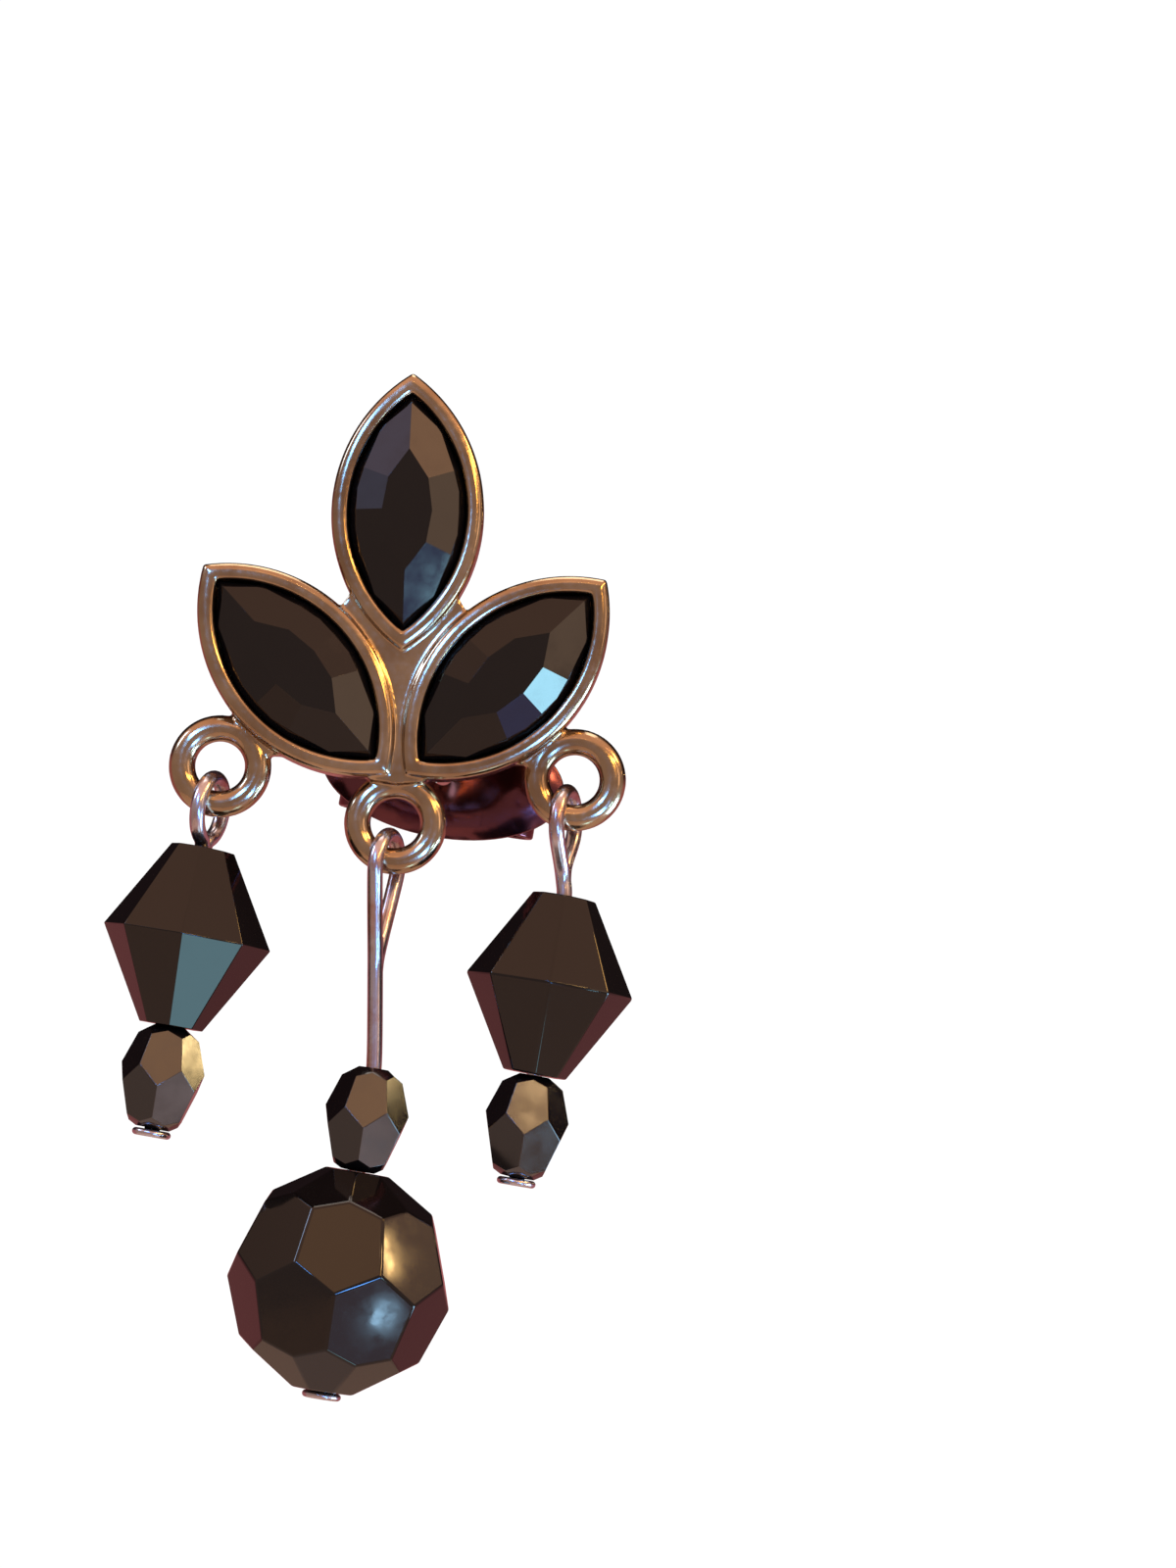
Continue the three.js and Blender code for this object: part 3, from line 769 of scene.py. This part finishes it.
class EARRING_OT_ear_clutch(bpy.types.Operator):
    """Builds the butterfly clutch from an oval plate with a hole for the post and two curled strips"""

    bl_idname = "earring.ear_clutch"
    bl_label = "Ear clutch"

    def execute(self, context):
        material = shaded_maroon_plating(context.scene.earring_colours)
        tree = sheet_strip_tree()
        curls = [grown(curl_path(side), tree, Width=CURL_WIDTH, Thickness=CLUTCH_SHEET,
                       Round=SHEET_ROUND, Material=material) for side in (-1, 1)]
        hole = POST_DIAMETER / 2 + CLUTCH_GAP
        loops = []
        for share, y in PLATE_SECTION:
            loops.append([((hole + (CLUTCH_WIDTH / 2 - hole) * share) * math.cos(2 * math.pi * i / 72), y,
                           (hole + (CLUTCH_HEIGHT / 2 - hole) * share) * math.sin(2 * math.pi * i / 72))
                          for i in range(72)])
        plate = lofted(loops, closed=True)
        mesh = joined([plate, *curls])
        mesh.polygons.foreach_set("use_smooth", [True] * len(mesh.polygons))
        mesh.transform(Matrix.Scale(MM, 4) @ Matrix.Rotation(-FRAME_LEAN, 4, "Y")
                       @ Matrix.Translation((0, LOBE_SPACE, 0)) @ Matrix.Rotation(CLUTCH_TURN, 4, "Y"))
        keep("butterfly_clutch", mesh, "frame", "clutch_metal", material, "ear_clutch")
        return {"FINISHED"}


# Studio

CAMERA_DISTANCE = 270 * MM
VIEW_HEIGHT = 1600 / 21 * MM
VIEW_CENTRE = Vector((7.2, -0.9, -0.03)) * MM
CAMERA_ROLL = 7
CAMERA_ELEVATION = -4.5


# Windows, lamps and pale cards of a room, which the facets and the metal reflect. The small ones are aimed
# at single facets. Each light: azimuth to the right of the front and elevation in degrees, distance and
# size in millimetres, colour, radiance with white at 1, and the degrees that an oblong one is turned
LIGHTS = (
    ("low blue strip", 25, -19, 230, (96, 20), "5CA4FF", 36, -37),
    ("high blue strip", -27, 20, 230, (90, 20), "5CA4FF", 36, -35),
    ("gold strip", 28, 22, 230, (80, 14), "FFC060", 20, 37),
    ("tall window", 84, -24, 230, (120, 90), "A6DAFF", 16),
    ("window pane", 51.6, -19.1, 230, (14, 18), "A6E6FF", 24),
    ("blue blind", 47.9, -17.7, 230, (13, 20), "5A8CD8", 1.8),
    ("sill", 43.3, -33.7, 230, (18, 16), "7C88D8", 1.6),
    ("low window", 44.6, -57.4, 230, (30, 40), "98E0F4", 4.6),
    ("blue floor", 45.1, -43.6, 230, (40, 36), "84B6FF", 0.45),
    ("far pane", 45.6, -43.2, 228, (2.6, 3), "A8DCFF", 16),
    ("grey card", 58.5, -37, 230, (24, 20), "D8C8D0", 1.3),
    ("side card", 56, 13.6, 230, (44, 84), "FFD0A8", 1.6),
    ("warm shelf", 48.8, 44.8, 230, (18, 18), "FFC08E", 3),
    ("blue door", -63.5, 13.3, 230, (20, 16), "C0CCFF", 1.0),
    ("blue shutter", -62.6, 33.7, 230, (22, 18), "B8C6FF", 1.2),
    ("sky window", -82, 28, 230, (44, 70), "B4D4FF", 12),
    ("ceiling glow", -3, 31.5, 230, (72, 26), "FFC07C", 0.75),
    ("ceiling lamp", 1.6, 31.8, 228, (2.4, 2.4), "FFD89A", 40),
    ("shelf", 94.5, 19.3, 230, (16, 18), "FFC496", 0.9),
    ("wall lamp", 93.6, 19.3, 228, (1.5, 5), "FFCE84", 34),
    ("warm lamp", 46.5, 29, 230, (18, 18), "FFC87C", 40),
    ("warm wall lamp", 74, 38, 230, (60, 40), "FFC268", 20),
    ("warm spot", 123, 14.2, 230, (6, 6), "FFDC9A", 22),
    ("overhead", 180, 82, 500, (320, 320), "FFF6EA", 2.5),
)


def direction(azimuth, elevation):
    """The way from the earring to an azimuth to the right of the front and an elevation, in degrees."""
    a, e = math.radians(azimuth), math.radians(elevation)
    return Vector((math.sin(a) * math.cos(e), -math.cos(a) * math.cos(e), math.sin(e)))


def area_light(name, azimuth, elevation, distance, size, colour, radiance, turn=0):
    """An oblong area light that faces the earring and is as bright as radiance, with white at 1."""
    data = bpy.data.lights.new(name, "AREA")
    data.shape = "RECTANGLE"
    data.size, data.size_y = size[0] * MM, size[1] * MM
    data.color = linear(colour)[:3]
    data.energy = radiance * math.pi * data.size * data.size_y
    light = bpy.data.objects.new(name, data)
    away = direction(azimuth, elevation)
    light.location = VIEW_CENTRE + away * distance * MM
    tilt = away.to_track_quat("Z", "Y").to_matrix() @ Matrix.Rotation(math.radians(turn), 3, "Z")
    light.rotation_euler = tilt.to_euler()
    light.visible_camera = False
    bpy.context.scene.collection.objects.link(light)


def studio_world():
    """A brown room, lighter towards its ceiling and dark red behind, that the camera sees as plain white."""
    world = bpy.data.worlds.new("studio")
    world.use_nodes = True
    tree = world.node_tree
    tree.nodes.clear()
    way = add(tree, "ShaderNodeTexCoord").outputs["Generated"]
    part = add(tree, "ShaderNodeSeparateXYZ", {"Vector": way}).outputs

    def ramp(value, low, high):
        return add(tree, "ShaderNodeMapRange", {"Value": value, "From Min": low, "From Max": high},
                   interpolation_type="SMOOTHSTEP").outputs["Result"]

    def blend(share, first, second):
        return add(tree, "ShaderNodeMix", {"Factor": share, "A": first, "B": second},
                   data_type="RGBA").outputs["Result"]

    front = blend(ramp(part["Z"], -0.8, -0.5), linear("6A3C30"), linear("AC9082"))
    front = blend(ramp(part["Z"], 0.3, 0.65), front, (1.05, 0.58, 0.38, 1.0))
    back = blend(ramp(part["Z"], 0.0, 0.25), linear("B46A6A"), linear("2A1E20"))
    room = blend(ramp(part["Y"], 0.0, 0.45), front, back)
    seen = add(tree, "ShaderNodeLightPath").outputs["Is Camera Ray"]
    tone = blend(seen, room, (1.05, 1.05, 1.05, 1.0))
    light = add(tree, "ShaderNodeBackground", {"Color": tone, "Strength": 1.0})
    add(tree, "ShaderNodeOutputWorld", {"Surface": light.outputs["Background"]})
    return world


class EARRING_OT_studio(bpy.types.Operator):
    """Sets up the camera, the pale floor, the room and its windows and lamps"""

    bl_idname = "earring.studio"
    bl_label = "Studio"

    def execute(self, context):
        scene = context.scene
        data = bpy.data.cameras.new("camera")
        data.lens = data.sensor_width * CAMERA_DISTANCE / VIEW_HEIGHT
        data.clip_start, data.clip_end = 0.01, 10
        camera = bpy.data.objects.new("camera", data)
        e = math.radians(CAMERA_ELEVATION)
        back = Vector((0, -math.cos(e), math.sin(e)))
        camera.location = VIEW_CENTRE + back * CAMERA_DISTANCE
        turn = back.to_track_quat("Z", "Y").to_matrix() @ Matrix.Rotation(math.radians(CAMERA_ROLL), 3, "Z")
        camera.rotation_euler = turn.to_euler()
        scene.collection.objects.link(camera)
        scene.camera = camera

        floor = scratch("floor", turned([(600, -421), (600, -420)], 96))
        floor.data.transform(Matrix.Scale(MM, 4))
        card, tree, shader, place = new_material("Pale matt card", Roughness=0.9)
        grain = add(tree, "ShaderNodeTexNoise", {"Vector": place, "Scale": 40.0, "Detail": 4.0})
        tone = add(tree, "ShaderNodeMix", {
            "Factor": grain.outputs["Fac"], "A": linear("F4F1EC"), "B": linear("FAF8F4")}, data_type="RGBA")
        tree.links.new(tone.outputs["Result"], shader.inputs["Base Color"])
        floor.data.materials.append(card)

        for light in LIGHTS:
            area_light(*light)
        scene.world = studio_world()
        scene.view_settings.view_transform = "Standard"
        return {"FINISHED"}


class EARRING_PT_sidebar(bpy.types.Panel):
    """Lists the earring's sizes, colours and pieces"""

    bl_label = "Chandelier Earring"
    bl_idname = "EARRING_PT_sidebar"
    bl_space_type = "VIEW_3D"
    bl_region_type = "UI"
    bl_category = "Earring"

    def draw(self, context):
        column = self.layout.column()
        for group in (context.scene.earring_sizes, context.scene.earring_colours):
            for name in group.__annotations__:
                column.prop(group, name)
        for operator in OPERATORS:
            column.operator(operator.bl_idname)


OPERATORS = (
    EARRING_OT_cast_setting,
    EARRING_OT_marquise_stones,
    EARRING_OT_faceted_beads,
    EARRING_OT_eye_pins,
    EARRING_OT_ear_clutch,
    EARRING_OT_studio,
)
CLASSES = (EarringSizes, EarringColours, *OPERATORS, EARRING_PT_sidebar)


def register():
    """Registers the add-on's classes and its settings."""
    for cls in CLASSES:
        bpy.utils.register_class(cls)
    bpy.types.Scene.earring_sizes = PointerProperty(type=EarringSizes)
    bpy.types.Scene.earring_colours = PointerProperty(type=EarringColours)


def unregister():
    """Takes the settings and the classes away again."""
    del bpy.types.Scene.earring_colours
    del bpy.types.Scene.earring_sizes
    for cls in reversed(CLASSES):
        bpy.utils.unregister_class(cls)


def main():
    """Builds every piece."""
    register()
    bpy.ops.earring.cast_setting()
    bpy.ops.earring.marquise_stones()
    bpy.ops.earring.faceted_beads()
    bpy.ops.earring.eye_pins()
    bpy.ops.earring.ear_clutch()
    bpy.ops.earring.studio()


if __name__ == "__main__":
    main()
